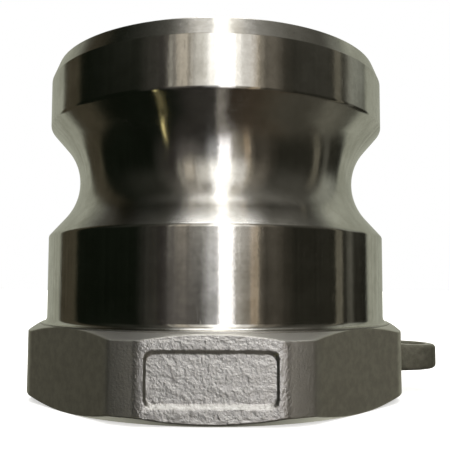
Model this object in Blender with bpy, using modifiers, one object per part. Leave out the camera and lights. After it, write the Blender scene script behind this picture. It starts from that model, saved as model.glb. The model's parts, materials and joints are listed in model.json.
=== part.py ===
"""Two-inch cam-groove adapter: a turned male head over a cast spanner base with a pipe socket.

Metres, +Z up. The origin lies on the adapter's axis, in the plane of the base's lower face, and the
name pad faces -Y. The body is one casting; the flat ring that seals the pipe thread is the other piece.
"""
import math

import bmesh
import bpy

# Lengths along the axis, stacked from the lower face up
BASE_HEIGHT = 0.0132
BARREL_LENGTH = 0.0154
GROOVE_WIDTH = 0.0202
HEAD_LENGTH = 0.0082
LEAD_IN_HEIGHT = 0.0030

# Head, groove and barrel
HEAD_DIAMETER = 0.06297
LEAD_IN_DEPTH = 0.0012
GROOVE_DEPTH = 0.0054
GROOVE_FLANK_ANGLE = math.radians(48.8)
SHOULDER_ROUND = 0.0008
BARREL_FILLET = 0.0009

# Spanner base: a disc with flats, chamfered at both ends, with narrow round lands at its corners
RIM_LEDGE = 0.0001
FLAT_SETOUT = 0.00017
FLAT_COUNT = 8
LAND_RISE = 0.0020
BASE_CHAMFER_ANGLE = math.radians(30)

# Name pad on the front flat, with a sunk panel
PAD_WIDTH = 0.0215
PAD_RAISE = 0.00045
PAD_END_STEP = 0.0001
PANEL_WIDTH = 0.0190
PANEL_HEIGHT = 0.0076
PANEL_DEPTH = 0.0005
PANEL_CORNER = 0.0014

# Chain lug on the flat that faces +X
LUG_WIDTH = 0.0105
LUG_REACH = 0.0096
LUG_THICKNESS = 0.0044
LUG_EYE_DIAMETER = 0.0062

# Pipe socket with room for a two-inch parallel thread, and the flow bore above it
THREAD_WALL = 0.00168
THREAD_HEIGHT = 0.00148
THREAD_LENGTH = 0.0175
MOUTH_OVERSIZE = 0.0005
RELIEF_OVERSIZE = 0.0001
SEAT_WIDTH = 0.0044
THROAT_WALL = 0.0031
FUNNEL_HEIGHT = 0.0085
NOSE_WALL = 0.0063
FLARE_RISE = 0.0073
FLARE_HEIGHT = 0.0070
NOSE_BREAK = 0.0005

# Thread seal, loose in the relief by the clearance
SEAL_THICKNESS = 0.0025
SEAL_INSET = 0.0004
SEAL_ROUND = 0.0003
CLEARANCE = 0.0003

# Facets, and how far pieces run into or past each other where they are joined or cut
TURN_STEPS = 80
ROUND_STEPS = 3
THROAT_STEPS = 12
LUG_END_STEPS = 14
EYE_STEPS = 28
SHARP_ANGLE = math.radians(25)
OVERLAP = 0.0010

# Places worked out from the sizes above
HEAD_RADIUS = HEAD_DIAMETER / 2
LOWER_SHOULDER_Z = BASE_HEIGHT + BARREL_LENGTH
GROOVE_Z = LOWER_SHOULDER_Z + GROOVE_WIDTH / 2
UPPER_SHOULDER_Z = LOWER_SHOULDER_Z + GROOVE_WIDTH
LEAD_IN_Z = UPPER_SHOULDER_Z + HEAD_LENGTH
TOP_Z = LEAD_IN_Z + LEAD_IN_HEIGHT
RIM_RADIUS = HEAD_RADIUS + BARREL_FILLET + RIM_LEDGE
FLAT_DISTANCE = RIM_RADIUS + FLAT_SETOUT
LAND_RADIUS = FLAT_DISTANCE + LAND_RISE
PAD_FACE = FLAT_DISTANCE + PAD_RAISE
BASE_MIDDLE_Z = BASE_HEIGHT / 2
THREAD_MAJOR = HEAD_RADIUS - THREAD_WALL
THREAD_MINOR = THREAD_MAJOR - THREAD_HEIGHT
MOUTH_RADIUS = THREAD_MAJOR + MOUTH_OVERSIZE
RELIEF_RADIUS = THREAD_MAJOR + RELIEF_OVERSIZE
SEAT_Z = THREAD_LENGTH + SEAL_THICKNESS + 2 * CLEARANCE
SEAT_RADIUS = RELIEF_RADIUS - SEAT_WIDTH
BORE_RADIUS = HEAD_RADIUS - GROOVE_DEPTH - THROAT_WALL
NOSE_RADIUS = HEAD_RADIUS - NOSE_WALL


def arc(centre, radius, start, end, steps):
    """Points of a circular arc, from one angle to another."""
    angles = [start + (end - start) * i / steps for i in range(steps + 1)]
    return [(centre[0] + radius * math.cos(a), centre[1] + radius * math.sin(a)) for a in angles]


def rounded_corner(before, corner, after, radius, steps):
    """Points of the arc that rounds a corner between two straight edges."""
    ways = [math.atan2(p[1] - corner[1], p[0] - corner[0]) for p in (before, after)]
    opening = (ways[1] - ways[0] + math.pi) % (2 * math.pi) - math.pi
    middle = ways[0] + opening / 2
    reach = radius / math.sin(abs(opening) / 2)
    centre = (corner[0] + reach * math.cos(middle), corner[1] + reach * math.sin(middle))
    sweep = math.copysign(math.pi - abs(opening), opening)
    start = middle + math.pi + sweep / 2
    return arc(centre, radius, start, start - sweep, steps)


def outline(corners):
    """A closed outline from corners (x, y), where some also give a radius and a number of steps."""
    points = []
    for i, corner in enumerate(corners):
        if len(corner) == 2:
            points.append(corner)
        else:
            before = corners[i - 1][:2]
            after = corners[(i + 1) % len(corners)][:2]
            points += rounded_corner(before, corner[:2], after, *corner[2:])
    return points


def new_collection(name):
    """An empty collection in the scene."""
    collection = bpy.data.collections.new(name)
    bpy.context.scene.collection.children.link(collection)
    return collection


def evaluated_mesh(item):
    """A new mesh of an object with its modifiers applied."""
    depsgraph = bpy.context.evaluated_depsgraph_get()
    return bpy.data.meshes.new_from_object(item.evaluated_get(depsgraph))


def turned(name, profile, collection):
    """A solid of revolution about Z, from a closed half section that runs down its outer side."""
    mesh = bpy.data.meshes.new(name)
    edges = [(i, (i + 1) % len(profile)) for i in range(len(profile))]
    mesh.from_pydata([(r, 0, z) for r, z in profile], edges, [])
    item = bpy.data.objects.new(name, mesh)
    collection.objects.link(item)
    screw = item.modifiers.new("Turn", 'SCREW')
    screw.axis = 'Z'
    screw.steps = TURN_STEPS
    screw.render_steps = TURN_STEPS
    screw.use_merge_vertices = True
    screw.merge_threshold = 0.000001
    return item


def plate(name, points, thickness, collection):
    """A flat outline in XY, filled and given its thickness evenly about Z = 0."""
    curve = bpy.data.curves.new(name, 'CURVE')
    curve.dimensions = '2D'
    curve.fill_mode = 'BOTH'
    curve.extrude = thickness / 2
    spline = curve.splines.new('POLY')
    spline.points.add(len(points) - 1)
    for vertex, (x, y) in zip(spline.points, points):
        vertex.co = (x, y, 0, 1)
    spline.use_cyclic_u = True
    flat = bpy.data.objects.new(name, curve)
    collection.objects.link(flat)
    mesh = evaluated_mesh(flat)
    bpy.data.objects.remove(flat)
    shell = bmesh.new()
    shell.from_mesh(mesh)
    bmesh.ops.remove_doubles(shell, verts=shell.verts, dist=0.000001)
    shell.to_mesh(mesh)
    shell.free()
    item = bpy.data.objects.new(name, mesh)
    collection.objects.link(item)
    return item


def prism(name, sides, radius, height, collection):
    """An upright prism about Z with flat faces across its Y axis, centred on Z = 0."""
    mesh = bpy.data.meshes.new(name)
    shell = bmesh.new()
    bmesh.ops.create_cone(shell, cap_ends=True, segments=sides, radius1=radius, radius2=radius, depth=height)
    shell.to_mesh(mesh)
    shell.free()
    item = bpy.data.objects.new(name, mesh)
    item.rotation_euler.z = math.pi / sides
    collection.objects.link(item)
    return item


def combine(target, operation, tool):
    """Join a tool to an object, cut it away, or keep only what they share."""
    boolean = target.modifiers.new(tool.name, 'BOOLEAN')
    boolean.operation = operation
    boolean.solver = 'EXACT'
    boolean.object = tool
    tool.hide_render = True
    tool.display_type = 'WIRE'


def settle(item, finish):
    """Keep an object's modified shape as its own mesh, smooth but for its edges, with its material."""
    mesh = evaluated_mesh(item)
    item.modifiers.clear()
    item.data = mesh
    mesh.shade_smooth()
    mesh.set_sharp_from_angle(angle=SHARP_ANGLE)
    mesh.materials.clear()
    mesh.materials.append(finish)


def material(name, colour, metallic, roughness):
    """A Principled BSDF material."""
    finish = bpy.data.materials.new(name)
    finish.use_nodes = True
    shader = finish.node_tree.nodes["Principled BSDF"]
    shader.inputs["Base Color"].default_value = (*colour, 1)
    shader.inputs["Metallic"].default_value = metallic
    shader.inputs["Roughness"].default_value = roughness
    return finish


def chamfer_drop(radius):
    """How far the base's chamfers have come in from its two end faces at a radius."""
    return (radius - RIM_RADIUS) * math.tan(BASE_CHAMFER_ANGLE)


def throat_arc_radius():
    """Radius of the arc that joins the groove's straight flanks at its full depth."""
    tangent = math.tan(GROOVE_FLANK_ANGLE)
    secant = 1 / math.cos(GROOVE_FLANK_ANGLE)
    return (GROOVE_WIDTH / 2 - GROOVE_DEPTH * tangent) / (secant - tangent)


def body_profile():
    """Half section of the casting: down the outside from the nose, then up the inside."""
    flank_apex = HEAD_RADIUS - GROOVE_WIDTH / 2 / math.tan(GROOVE_FLANK_ANGLE)
    outside = [
        (HEAD_RADIUS - LEAD_IN_DEPTH, TOP_Z),
        (HEAD_RADIUS, LEAD_IN_Z),
        (HEAD_RADIUS, UPPER_SHOULDER_Z, SHOULDER_ROUND, ROUND_STEPS),
        (flank_apex, GROOVE_Z, throat_arc_radius(), THROAT_STEPS),
        (HEAD_RADIUS, LOWER_SHOULDER_Z, SHOULDER_ROUND, ROUND_STEPS),
        (HEAD_RADIUS, BASE_HEIGHT, BARREL_FILLET, ROUND_STEPS),
        (RIM_RADIUS, BASE_HEIGHT),
        (LAND_RADIUS, BASE_HEIGHT - chamfer_drop(LAND_RADIUS)),
        (LAND_RADIUS, chamfer_drop(LAND_RADIUS)),
        (RIM_RADIUS, 0),
    ]
    inside = [
        (MOUTH_RADIUS, 0),
        (THREAD_MINOR, MOUTH_RADIUS - THREAD_MINOR),
        (THREAD_MINOR, THREAD_LENGTH - (RELIEF_RADIUS - THREAD_MINOR)),
        (RELIEF_RADIUS, THREAD_LENGTH),
        (RELIEF_RADIUS, SEAT_Z),
        (SEAT_RADIUS, SEAT_Z),
        (BORE_RADIUS, SEAT_Z + FUNNEL_HEIGHT),
        (BORE_RADIUS, GROOVE_Z + FLARE_RISE),
        (NOSE_RADIUS, GROOVE_Z + FLARE_RISE + FLARE_HEIGHT),
        (NOSE_RADIUS, TOP_Z - NOSE_BREAK),
        (NOSE_RADIUS + NOSE_BREAK, TOP_Z),
    ]
    return outline(outside + inside)


def name_pad(cutters):
    """The raised pad on the front flat, chamfered as the base is and a small step inside it."""
    pad_depth = PAD_RAISE + OVERLAP
    half_width = PAD_WIDTH / 2
    half_height = BASE_HEIGHT / 2
    corners = [(-half_width, -half_height), (half_width, -half_height),
               (half_width, half_height), (-half_width, half_height)]
    pad = plate("name_pad", corners, pad_depth, cutters)
    pad.location = (0, -PAD_FACE + pad_depth / 2, BASE_MIDDLE_Z)
    pad.rotation_euler.x = math.pi / 2
    outer = math.hypot(PAD_FACE, half_width) + OVERLAP
    inner = FLAT_DISTANCE - 2 * OVERLAP
    low = PAD_END_STEP
    high = BASE_HEIGHT - PAD_END_STEP
    disc = turned("pad_chamfers", [
        (RIM_RADIUS, high),
        (outer, high - chamfer_drop(outer)),
        (outer, low + chamfer_drop(outer)),
        (RIM_RADIUS, low),
        (inner, low),
        (inner, high),
    ], cutters)
    combine(pad, 'INTERSECT', disc)
    return pad


def pad_panel(cutters):
    """Cutter for the sunk, round-cornered panel in the name pad."""
    half_width = PANEL_WIDTH / 2
    half_height = PANEL_HEIGHT / 2
    signs = ((-1, -1), (1, -1), (1, 1), (-1, 1))
    corners = [(x * half_width, y * half_height, PANEL_CORNER, ROUND_STEPS) for x, y in signs]
    depth = PANEL_DEPTH + OVERLAP
    panel = plate("pad_panel", outline(corners), depth, cutters)
    panel.location = (0, -PAD_FACE - OVERLAP + depth / 2, BASE_MIDDLE_Z)
    panel.rotation_euler.x = math.pi / 2
    return panel


def chain_lug(cutters):
    """The round-ended lug, and the cutter for its upright eye."""
    half_width = LUG_WIDTH / 2
    root = FLAT_DISTANCE - OVERLAP
    eye_x = FLAT_DISTANCE + LUG_REACH - half_width
    end = arc((eye_x, 0), half_width, -math.pi / 2, math.pi / 2, LUG_END_STEPS)
    lug = plate("chain_lug", [(root, -half_width)] + end + [(root, half_width)], LUG_THICKNESS, cutters)
    lug.location.z = BASE_MIDDLE_Z
    eye = prism("lug_eye", EYE_STEPS, LUG_EYE_DIAMETER / 2, LUG_THICKNESS + 2 * OVERLAP, cutters)
    eye.location = (eye_x, 0, BASE_MIDDLE_Z)
    return lug, eye


def adapter_body(parts, cutters):
    """The casting: turned section, spanner flats, name pad and chain lug."""
    body = turned("adapter_body", body_profile(), parts)
    corner_radius = FLAT_DISTANCE / math.cos(math.pi / FLAT_COUNT)
    flats = prism("spanner_flats", FLAT_COUNT, corner_radius, TOP_Z + 2 * OVERLAP, cutters)
    flats.location.z = TOP_Z / 2
    lug, eye = chain_lug(cutters)
    combine(body, 'INTERSECT', flats)
    combine(body, 'UNION', name_pad(cutters))
    combine(body, 'DIFFERENCE', pad_panel(cutters))
    combine(body, 'UNION', lug)
    combine(body, 'DIFFERENCE', eye)
    settle(body, material("stainless_steel", (0.46, 0.45, 0.42), 1.0, 0.25))


def thread_seal(parts):
    """The flat ring under the seat at the inner end of the pipe socket."""
    outer = RELIEF_RADIUS - CLEARANCE
    inner = SEAT_RADIUS + SEAL_INSET
    top = SEAT_Z - CLEARANCE
    bottom = top - SEAL_THICKNESS
    ring = [(outer, top), (outer, bottom), (inner, bottom), (inner, top)]
    corners = [(r, z, SEAL_ROUND, ROUND_STEPS) for r, z in ring]
    seal = turned("thread_seal", outline(corners), parts)
    settle(seal, material("seal_ptfe", (0.83, 0.82, 0.78), 0.0, 0.45))


def build():
    """Clear the scene and model the adapter."""
    for item in list(bpy.data.objects):
        bpy.data.objects.remove(item)
    parts = new_collection("cam_groove_adapter")
    cutters = new_collection("cutters")
    adapter_body(parts, cutters)
    thread_seal(parts)


build()
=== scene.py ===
"""Finish of a two-inch cam and groove pipe adapter: a bright turned head over a cast spanner base.

Metres, +Z up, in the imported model's frame: the axis is Z, the name pad faces -Y and the chain lug +X.
The casting, its pipe thread and the seal ring are made again with a finer surface, and get their finish.
"""
import json
import math

import bpy
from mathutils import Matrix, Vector


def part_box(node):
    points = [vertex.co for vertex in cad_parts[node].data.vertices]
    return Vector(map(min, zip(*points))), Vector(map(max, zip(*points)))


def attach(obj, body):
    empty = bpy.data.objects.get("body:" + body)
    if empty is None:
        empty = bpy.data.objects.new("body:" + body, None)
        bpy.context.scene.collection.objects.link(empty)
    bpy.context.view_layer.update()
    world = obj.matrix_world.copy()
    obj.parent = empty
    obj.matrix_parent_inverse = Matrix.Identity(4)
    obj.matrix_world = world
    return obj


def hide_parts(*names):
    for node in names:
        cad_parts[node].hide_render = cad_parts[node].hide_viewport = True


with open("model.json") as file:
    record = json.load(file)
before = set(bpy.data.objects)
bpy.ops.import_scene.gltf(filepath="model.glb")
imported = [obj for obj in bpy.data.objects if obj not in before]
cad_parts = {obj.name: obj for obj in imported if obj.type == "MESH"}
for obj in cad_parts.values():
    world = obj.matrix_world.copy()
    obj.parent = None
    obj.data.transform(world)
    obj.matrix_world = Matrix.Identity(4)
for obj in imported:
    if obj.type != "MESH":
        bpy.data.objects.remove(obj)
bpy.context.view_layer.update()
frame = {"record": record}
MOUNTS = {mount["name"]: mount for mount in frame["record"]["mounts"]}
BODY_LOW, BODY_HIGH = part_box("adapter_body")
SEAL_LOW, SEAL_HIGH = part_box("thread_seal")
FLAT_POINT = Vector(MOUNTS["spanner_flat"]["pos_m"])
LUG_POINT = Vector(MOUNTS["chain_lug_face"]["pos_m"])
MM = 0.001

# Places that the frame gives
TOP_Z = BODY_HIGH.z
BASE_HEIGHT = 2 * FLAT_POINT.z
BASE_MIDDLE_Z = FLAT_POINT.z
FLAT_DISTANCE = FLAT_POINT.y
PAD_FACE = -BODY_LOW.y
LUG_TIP_X = BODY_HIGH.x
LUG_EYE_X = LUG_POINT.x
LUG_HALF_THICKNESS = LUG_POINT.z - BASE_MIDDLE_Z
THREAD_MINOR = MOUNTS["pipe_socket"]["dims"]["r_mm"] * MM

# Share of a bright turned finish on each stretch of the section; at the lowest share the colour gets
# painted shade
BRIGHT = 1.0
RINGED = 0.92
SATIN = 0.55
PLAIN = 0.2
# No polish, with painted shade in the colour: used in the corner under the rim's step
SHADED_STEP = 0.0

# Head, groove and barrel
HEAD_RADIUS = 31.485 * MM
LEAD_IN_DEPTH = 1.2 * MM
LEAD_IN_HEIGHT = 3.0 * MM
GROOVE_TOP_Z = 48.8 * MM
GROOVE_FOOT_Z = 28.6 * MM
GROOVE_DEPTH = 5.4 * MM
GROOVE_FLANK_ANGLE = math.radians(48.8)
SHOULDER_ROUND = 0.8 * MM
TURNED_EDGE_ROUND = 0.25 * MM
BARREL_FILLET = 0.95 * MM

# Spanner base
RIM_RADIUS = 32.485 * MM
LAND_RADIUS = 34.655 * MM
FLAT_COUNT = 8
BASE_CHAMFER_ANGLE = math.radians(30)
LIP_ROUND = 0.2 * MM
LIP_STEP = 0.22 * MM
# Share of the step's riser that lies above the painted shade in its corner
LIP_UNSHADED_SHARE = 0.7
FLAT_EDGE_SOFTNESS = 0.22 * MM
FLAT_SKIN_BLEND = 0.1 * MM
LAND_SKIN_BLEND = (0.1 * MM, 0.02 * MM)

# Name pad and its sunk panel
PANEL_WIDTH = 19.0 * MM
PANEL_HEIGHT = 7.6 * MM
PANEL_DEPTH = 0.5 * MM
PANEL_CORNER = 1.4 * MM
PANEL_WALL = 0.55 * MM
PANEL_WOBBLE = 0.22 * MM
WOBBLES_PER_GRAIN = 0.4
GRAIN_SIZE = 0.95 * MM
GRAIN_DEPTH = 0.23 * MM
GRAIN_ROUGHNESS = 0.56

# Where the mesh is drawn together at the panel's upright sides, and how far; heights in panel heights
PANEL_SIDE_GATHERING = 0.35
GATHERING_REACH = 1.2 * MM
GATHERING_HEIGHTS = (0.65, 0.55)

# How coarse the cast skin is; the pad's edge in panel widths, the lands' in half pitches of the flats
FLAT_COARSENESS = 0.05
LAND_COARSENESS = 0.6
PAD_GRAIN_EDGE = (0.62, 0.565)
LAND_GRAIN_EDGE = (1.25, 1.1)

# Chain lug
LUG_EYE_RADIUS = 3.1 * MM
LUG_EDGE_ROUND = 0.7 * MM
LUG_EYE_ROUND = 0.5 * MM
LUG_DRAFT = 0.3 * MM
LUG_ROOT_FILLET = 1.1 * MM
LUG_SIDE_POWER = 4
LUG_BURIED = 0.3 * MM
LUG_SKIN = {"cast": 1.0, "grain": 0.5, "polish": PLAIN}
# Painted shade, with added roughness, on the lug's upright faces: the share of it that the level faces get,
# so that they read lighter, where a face counts as level, and how far it fades in from the root
LUG_LEVEL_FACE_SHADE = 0.3
LUG_FACE_SHARE = 0.99
LUG_SHADE_FADE = 0.9 * MM

# Pipe socket and bore
THREAD_MAJOR = 29.805 * MM
THREAD_PITCH = 2.309 * MM
THREAD_LENGTH = 17.5 * MM
MOUTH_RADIUS = 30.305 * MM
RELIEF_RADIUS = 29.905 * MM
SEAT_Z = 20.6 * MM
SEAT_RADIUS = 25.505 * MM
BORE_RADIUS = 22.985 * MM
BORE_ROUND = 8 * MM
FUNNEL_TOP_Z = 29.1 * MM
FLARE_FOOT_Z = 46.0 * MM
FLARE_TOP_Z = 53.0 * MM
FLARE_ROUND = 6 * MM
NOSE_RADIUS = 25.185 * MM
NOSE_BREAK = 0.5 * MM

# Seal ring
SEAL_INNER_RADIUS = 25.905 * MM
SEAL_EDGE_ROUND = 0.35 * MM

# Fineness of the meshes
COLUMNS = 430
COLUMN_CROWDING = 0.72
SEAL_COLUMNS = 180
ROW_STEP = 0.2 * MM
ROUND_STEPS = 4
THROAT_STEPS = 26
SUPPORT = 0.12 * MM
SHARP_ANGLE = math.radians(40)
WELD_DISTANCE = 0.001 * MM
TINY = 1e-9


# Node trees

def put(tree, socket, value):
    """Join a socket to another node's output, or give it a plain value."""
    if isinstance(value, bpy.types.NodeSocket):
        tree.links.new(value, socket)
    else:
        socket.default_value = value


def node(tree, kind, inputs=(), **settings):
    """A new node with its settings, and its inputs joined or set."""
    made = tree.nodes.new(kind)
    for name, value in settings.items():
        setattr(made, name, value)
    for key, value in dict(inputs).items():
        put(tree, made.inputs[key], value)
    return made


def calc(tree, operation, *values):
    """Output of a Math node."""
    return node(tree, 'ShaderNodeMath', enumerate(values), operation=operation).outputs[0]


def vector_calc(tree, operation, *values):
    """Vector output of a Vector Math node."""
    return node(tree, 'ShaderNodeVectorMath', enumerate(values), operation=operation).outputs["Vector"]


def scaled(tree, vector, factor):
    """A vector times a number."""
    inputs = {"Vector": vector, "Scale": factor}
    return node(tree, 'ShaderNodeVectorMath', inputs, operation='SCALE').outputs["Vector"]


def ramp(tree, value, start, end):
    """A smooth rise from 0 at start to 1 at end."""
    inputs = {"Value": value, "From Min": start, "From Max": end}
    return node(tree, 'ShaderNodeMapRange', inputs, interpolation_type='SMOOTHSTEP').outputs["Result"]


def ramp_in_shares(tree, value, whole, shares):
    """A smooth rise from 0 to 1 between two shares of a size."""
    return ramp(tree, value, *(calc(tree, 'MULTIPLY', whole, share) for share in shares))


def between(tree, factor, low, high):
    """A number that goes from low to high as the factor goes from 0 to 1."""
    inputs = {"Value": factor, "To Min": low, "To Max": high}
    return node(tree, 'ShaderNodeMapRange', inputs).outputs["Result"]


def geometry_tree(name, sizes):
    """A Geometry Nodes tree with named inputs, and its group input node."""
    tree = bpy.data.node_groups.new(name, 'GeometryNodeTree')
    interface = tree.interface
    interface.new_socket("Geometry", in_out='INPUT', socket_type='NodeSocketGeometry')
    interface.new_socket("Geometry", in_out='OUTPUT', socket_type='NodeSocketGeometry')
    for label, value in sizes.items():
        kind = 'NodeSocketInt' if isinstance(value, int) else 'NodeSocketFloat'
        interface.new_socket(label, in_out='INPUT', socket_type=kind)
    interface.new_socket("Material", in_out='INPUT', socket_type='NodeSocketMaterial')
    return tree, tree.nodes.new('NodeGroupInput').outputs


def end_tree(tree, geometry, sizes, coated_faces=True):
    """Close a tree with Realize Instances and Set Material, on all faces or on chosen ones."""
    real = node(tree, 'GeometryNodeRealizeInstances', {"Geometry": geometry})
    inputs = {"Geometry": real.outputs["Geometry"], "Selection": coated_faces,
              "Material": sizes["Material"]}
    coated = node(tree, 'GeometryNodeSetMaterial', inputs)
    output = tree.nodes.new('NodeGroupOutput')
    tree.links.new(coated.outputs["Geometry"], output.inputs["Geometry"])


def add_tree(piece, tree, sizes, finish):
    """Put a tree on a piece as a modifier, with its inputs set by their sockets' identifiers."""
    modifier = piece.modifiers.new(tree.name, 'NODES')
    modifier.node_group = tree
    for item in tree.interface.items_tree:
        if item.in_out == 'INPUT' and item.name in sizes:
            modifier[item.identifier] = sizes[item.name]
        elif item.in_out == 'INPUT' and item.name == "Material":
            modifier[item.identifier] = finish


def named(tree, label):
    """A piece's own attribute, as a number."""
    inputs = {"Name": label}
    return node(tree, 'GeometryNodeInputNamedAttribute', inputs, data_type='FLOAT').outputs["Attribute"]


def stored(tree, geometry, label, value):
    """Geometry with a number kept on its points."""
    inputs = {"Geometry": geometry, "Name": label, "Value": value}
    made = node(tree, 'GeometryNodeStoreNamedAttribute', inputs, data_type='FLOAT', domain='POINT')
    return made.outputs["Geometry"]


# Sections

def arc(centre, radius, start, end, steps):
    """Points of a circular arc, from one angle to another."""
    angles = [start + (end - start) * i / steps for i in range(steps + 1)]
    return [(centre[0] + radius * math.cos(a), centre[1] + radius * math.sin(a)) for a in angles]


def rounded_corner(before, corner, after, radius, steps):
    """Points of the arc that rounds a corner between two straight edges."""
    ways = [math.atan2(p[1] - corner[1], p[0] - corner[0]) for p in (before, after)]
    opening = (ways[1] - ways[0] + math.pi) % (2 * math.pi) - math.pi
    middle = ways[0] + opening / 2
    reach = radius / math.sin(abs(opening) / 2)
    centre = (corner[0] + reach * math.cos(middle), corner[1] + reach * math.sin(middle))
    sweep = math.copysign(math.pi - abs(opening), opening)
    start = middle + math.pi + sweep / 2
    return arc(centre, radius, start, start - sweep, steps)


def along(start, end, distance):
    """The point that lies a distance from one point towards another."""
    share = distance / math.dist(start, end)
    return tuple(a + (b - a) * share for a, b in zip(start, end))


def section(corners):
    """A closed outline (radius, z, polish) from corners (radius, z, polish, round, steps).

    Points close to each round keep the straight stretches straight in smooth shading.
    """
    rounds = []
    for i, (r, z, polish, radius, steps) in enumerate(corners):
        before = corners[i - 1][:2]
        after = corners[(i + 1) % len(corners)][:2]
        points = rounded_corner(before, (r, z), after, radius, steps) if radius else [(r, z)]
        rounds.append((points, polish))
    outline = []
    for i, (points, polish) in enumerate(rounds):
        following = rounds[(i + 1) % len(rounds)][0][0]
        stretch = [*points]
        if math.dist(points[-1], following) > 4 * SUPPORT:
            stretch.append(along(points[-1], following, SUPPORT))
            stretch.append(along(following, points[-1], SUPPORT))
        outline += [(*point, polish) for point in stretch]
    return outline


def refined(outline, step, wanted):
    """An outline with its edges cut to a step where both of their ends are wanted."""
    fine = []
    for start, end in zip(outline, outline[1:] + outline[:1]):
        cuts = 1
        if wanted(start) and wanted(end):
            cuts = max(1, math.ceil(math.dist(start[:2], end[:2]) / step))
        for i in range(cuts):
            fine.append(tuple(a + (b - a) * i / cuts for a, b in zip(start, end)))
    return fine


def chamfer_drop(radius):
    """How far the base's chamfers have come in from its two end faces at a radius."""
    return (radius - RIM_RADIUS) * math.tan(BASE_CHAMFER_ANGLE)


def casting_section():
    """Half section of the casting: down the outside from the nose, then up the inside."""
    groove_z = (GROOVE_TOP_Z + GROOVE_FOOT_Z) / 2
    half_groove = (GROOVE_TOP_Z - GROOVE_FOOT_Z) / 2
    tangent = math.tan(GROOVE_FLANK_ANGLE)
    secant = 1 / math.cos(GROOVE_FLANK_ANGLE)
    throat_round = (half_groove - GROOVE_DEPTH * tangent) / (secant - tangent)
    flank_apex = HEAD_RADIUS - half_groove / tangent
    drop = chamfer_drop(LAND_RADIUS)
    step_radius = RIM_RADIUS + LIP_STEP / math.tan(BASE_CHAMFER_ANGLE)
    edge = (TURNED_EDGE_ROUND, ROUND_STEPS)
    sharp = (0, 0)
    outside = [
        (HEAD_RADIUS - LEAD_IN_DEPTH, TOP_Z, BRIGHT, *edge),
        (HEAD_RADIUS, TOP_Z - LEAD_IN_HEIGHT, BRIGHT, *edge),
        (HEAD_RADIUS, GROOVE_TOP_Z, BRIGHT, SHOULDER_ROUND, ROUND_STEPS),
        (flank_apex, groove_z, RINGED, throat_round, THROAT_STEPS),
        (HEAD_RADIUS, GROOVE_FOOT_Z, BRIGHT, SHOULDER_ROUND, ROUND_STEPS),
        (HEAD_RADIUS, BASE_HEIGHT, BRIGHT, BARREL_FILLET, ROUND_STEPS),
        (RIM_RADIUS, BASE_HEIGHT, SATIN, *sharp),
        (RIM_RADIUS, BASE_HEIGHT - LIP_UNSHADED_SHARE * LIP_STEP, SATIN, *sharp),
        # Painted shade in the corner under the rim's step, through the lowest polish share
        (RIM_RADIUS, BASE_HEIGHT - LIP_STEP, SHADED_STEP, *sharp),
        (step_radius, BASE_HEIGHT - LIP_STEP, SATIN, *sharp),
        (LAND_RADIUS, BASE_HEIGHT - drop, SATIN, *edge),
        (LAND_RADIUS, drop, SATIN, *edge),
        (RIM_RADIUS, 0, PLAIN, LIP_ROUND, ROUND_STEPS),
    ]
    inside = [
        (MOUTH_RADIUS, 0, PLAIN, *edge),
        (THREAD_MAJOR, MOUTH_RADIUS - THREAD_MAJOR, PLAIN, *sharp),
        (THREAD_MAJOR, THREAD_LENGTH, PLAIN, *sharp),
        (RELIEF_RADIUS, THREAD_LENGTH + RELIEF_RADIUS - THREAD_MAJOR, PLAIN, *sharp),
        (RELIEF_RADIUS, SEAT_Z, PLAIN, *edge),
        (SEAT_RADIUS, SEAT_Z, PLAIN, *edge),
        (BORE_RADIUS, FUNNEL_TOP_Z, PLAIN, BORE_ROUND, ROUND_STEPS),
        (BORE_RADIUS, FLARE_FOOT_Z, PLAIN, BORE_ROUND, ROUND_STEPS),
        (NOSE_RADIUS, FLARE_TOP_Z, PLAIN, FLARE_ROUND, ROUND_STEPS),
        (NOSE_RADIUS, TOP_Z - NOSE_BREAK, PLAIN, *sharp),
        (NOSE_RADIUS + NOSE_BREAK, TOP_Z, BRIGHT, *sharp),
    ]

    def on_base(point):
        return point[0] > RIM_RADIUS - LIP_ROUND and point[1] <= BASE_HEIGHT

    return refined(section(outside + inside), ROW_STEP, on_base)


def section_object(name, outline):
    """An object whose mesh is a closed section in the XZ plane, with its polish on the points."""
    mesh = bpy.data.meshes.new(name)
    edges = [(i, (i + 1) % len(outline)) for i in range(len(outline))]
    mesh.from_pydata([(r, 0, z) for r, z, _ in outline], edges, [])
    polish = mesh.attributes.new("polish", 'FLOAT', 'POINT')
    polish.data.foreach_set("value", [point[2] for point in outline])
    return place(name, mesh)


def place(name, mesh):
    """A new object in the scene."""
    piece = bpy.data.objects.new(name, mesh)
    bpy.context.scene.collection.objects.link(piece)
    return piece


# Trees for the pieces

TURNING = {"Columns": COLUMNS, "Crowding": COLUMN_CROWDING}
SPANNER_BASE = {
    "Base Height": BASE_HEIGHT,
    "Rim Radius": RIM_RADIUS - LIP_ROUND,
    "Flat Count": FLAT_COUNT,
    "Flat Distance": FLAT_DISTANCE,
    "Land Radius": LAND_RADIUS,
    "Edge Softness": FLAT_EDGE_SOFTNESS,
    "Pad Face": PAD_FACE,
    "Panel Width": PANEL_WIDTH,
    "Panel Height": PANEL_HEIGHT,
    "Panel Depth": PANEL_DEPTH,
    "Panel Corner": PANEL_CORNER,
    "Panel Wall": PANEL_WALL,
    "Side Gathering": PANEL_SIDE_GATHERING,
    "Panel Wobble": PANEL_WOBBLE,
    "Panel Z": BASE_MIDDLE_Z,
    "Grain Size": GRAIN_SIZE,
    "Grain Depth": GRAIN_DEPTH,
    "Grain Seed": 7.0,
}
THREAD = {
    "Pitch": THREAD_PITCH,
    "Turns": 6.6,
    "Root Radius": THREAD_MAJOR,
    "Crest Radius": THREAD_MINOR,
    "Start Z": 1.1 * MM,
    "Root Share": 0.93,
    "Crest Share": 0.26,
    "Crest Round": 0.14 * MM,
    "Crest Steps": 3,
    "Run Out": 0.06,
    "Run Out Scale": 0.04,
    "Buried": 0.06 * MM,
    "Steps per Turn": 120,
}


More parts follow.
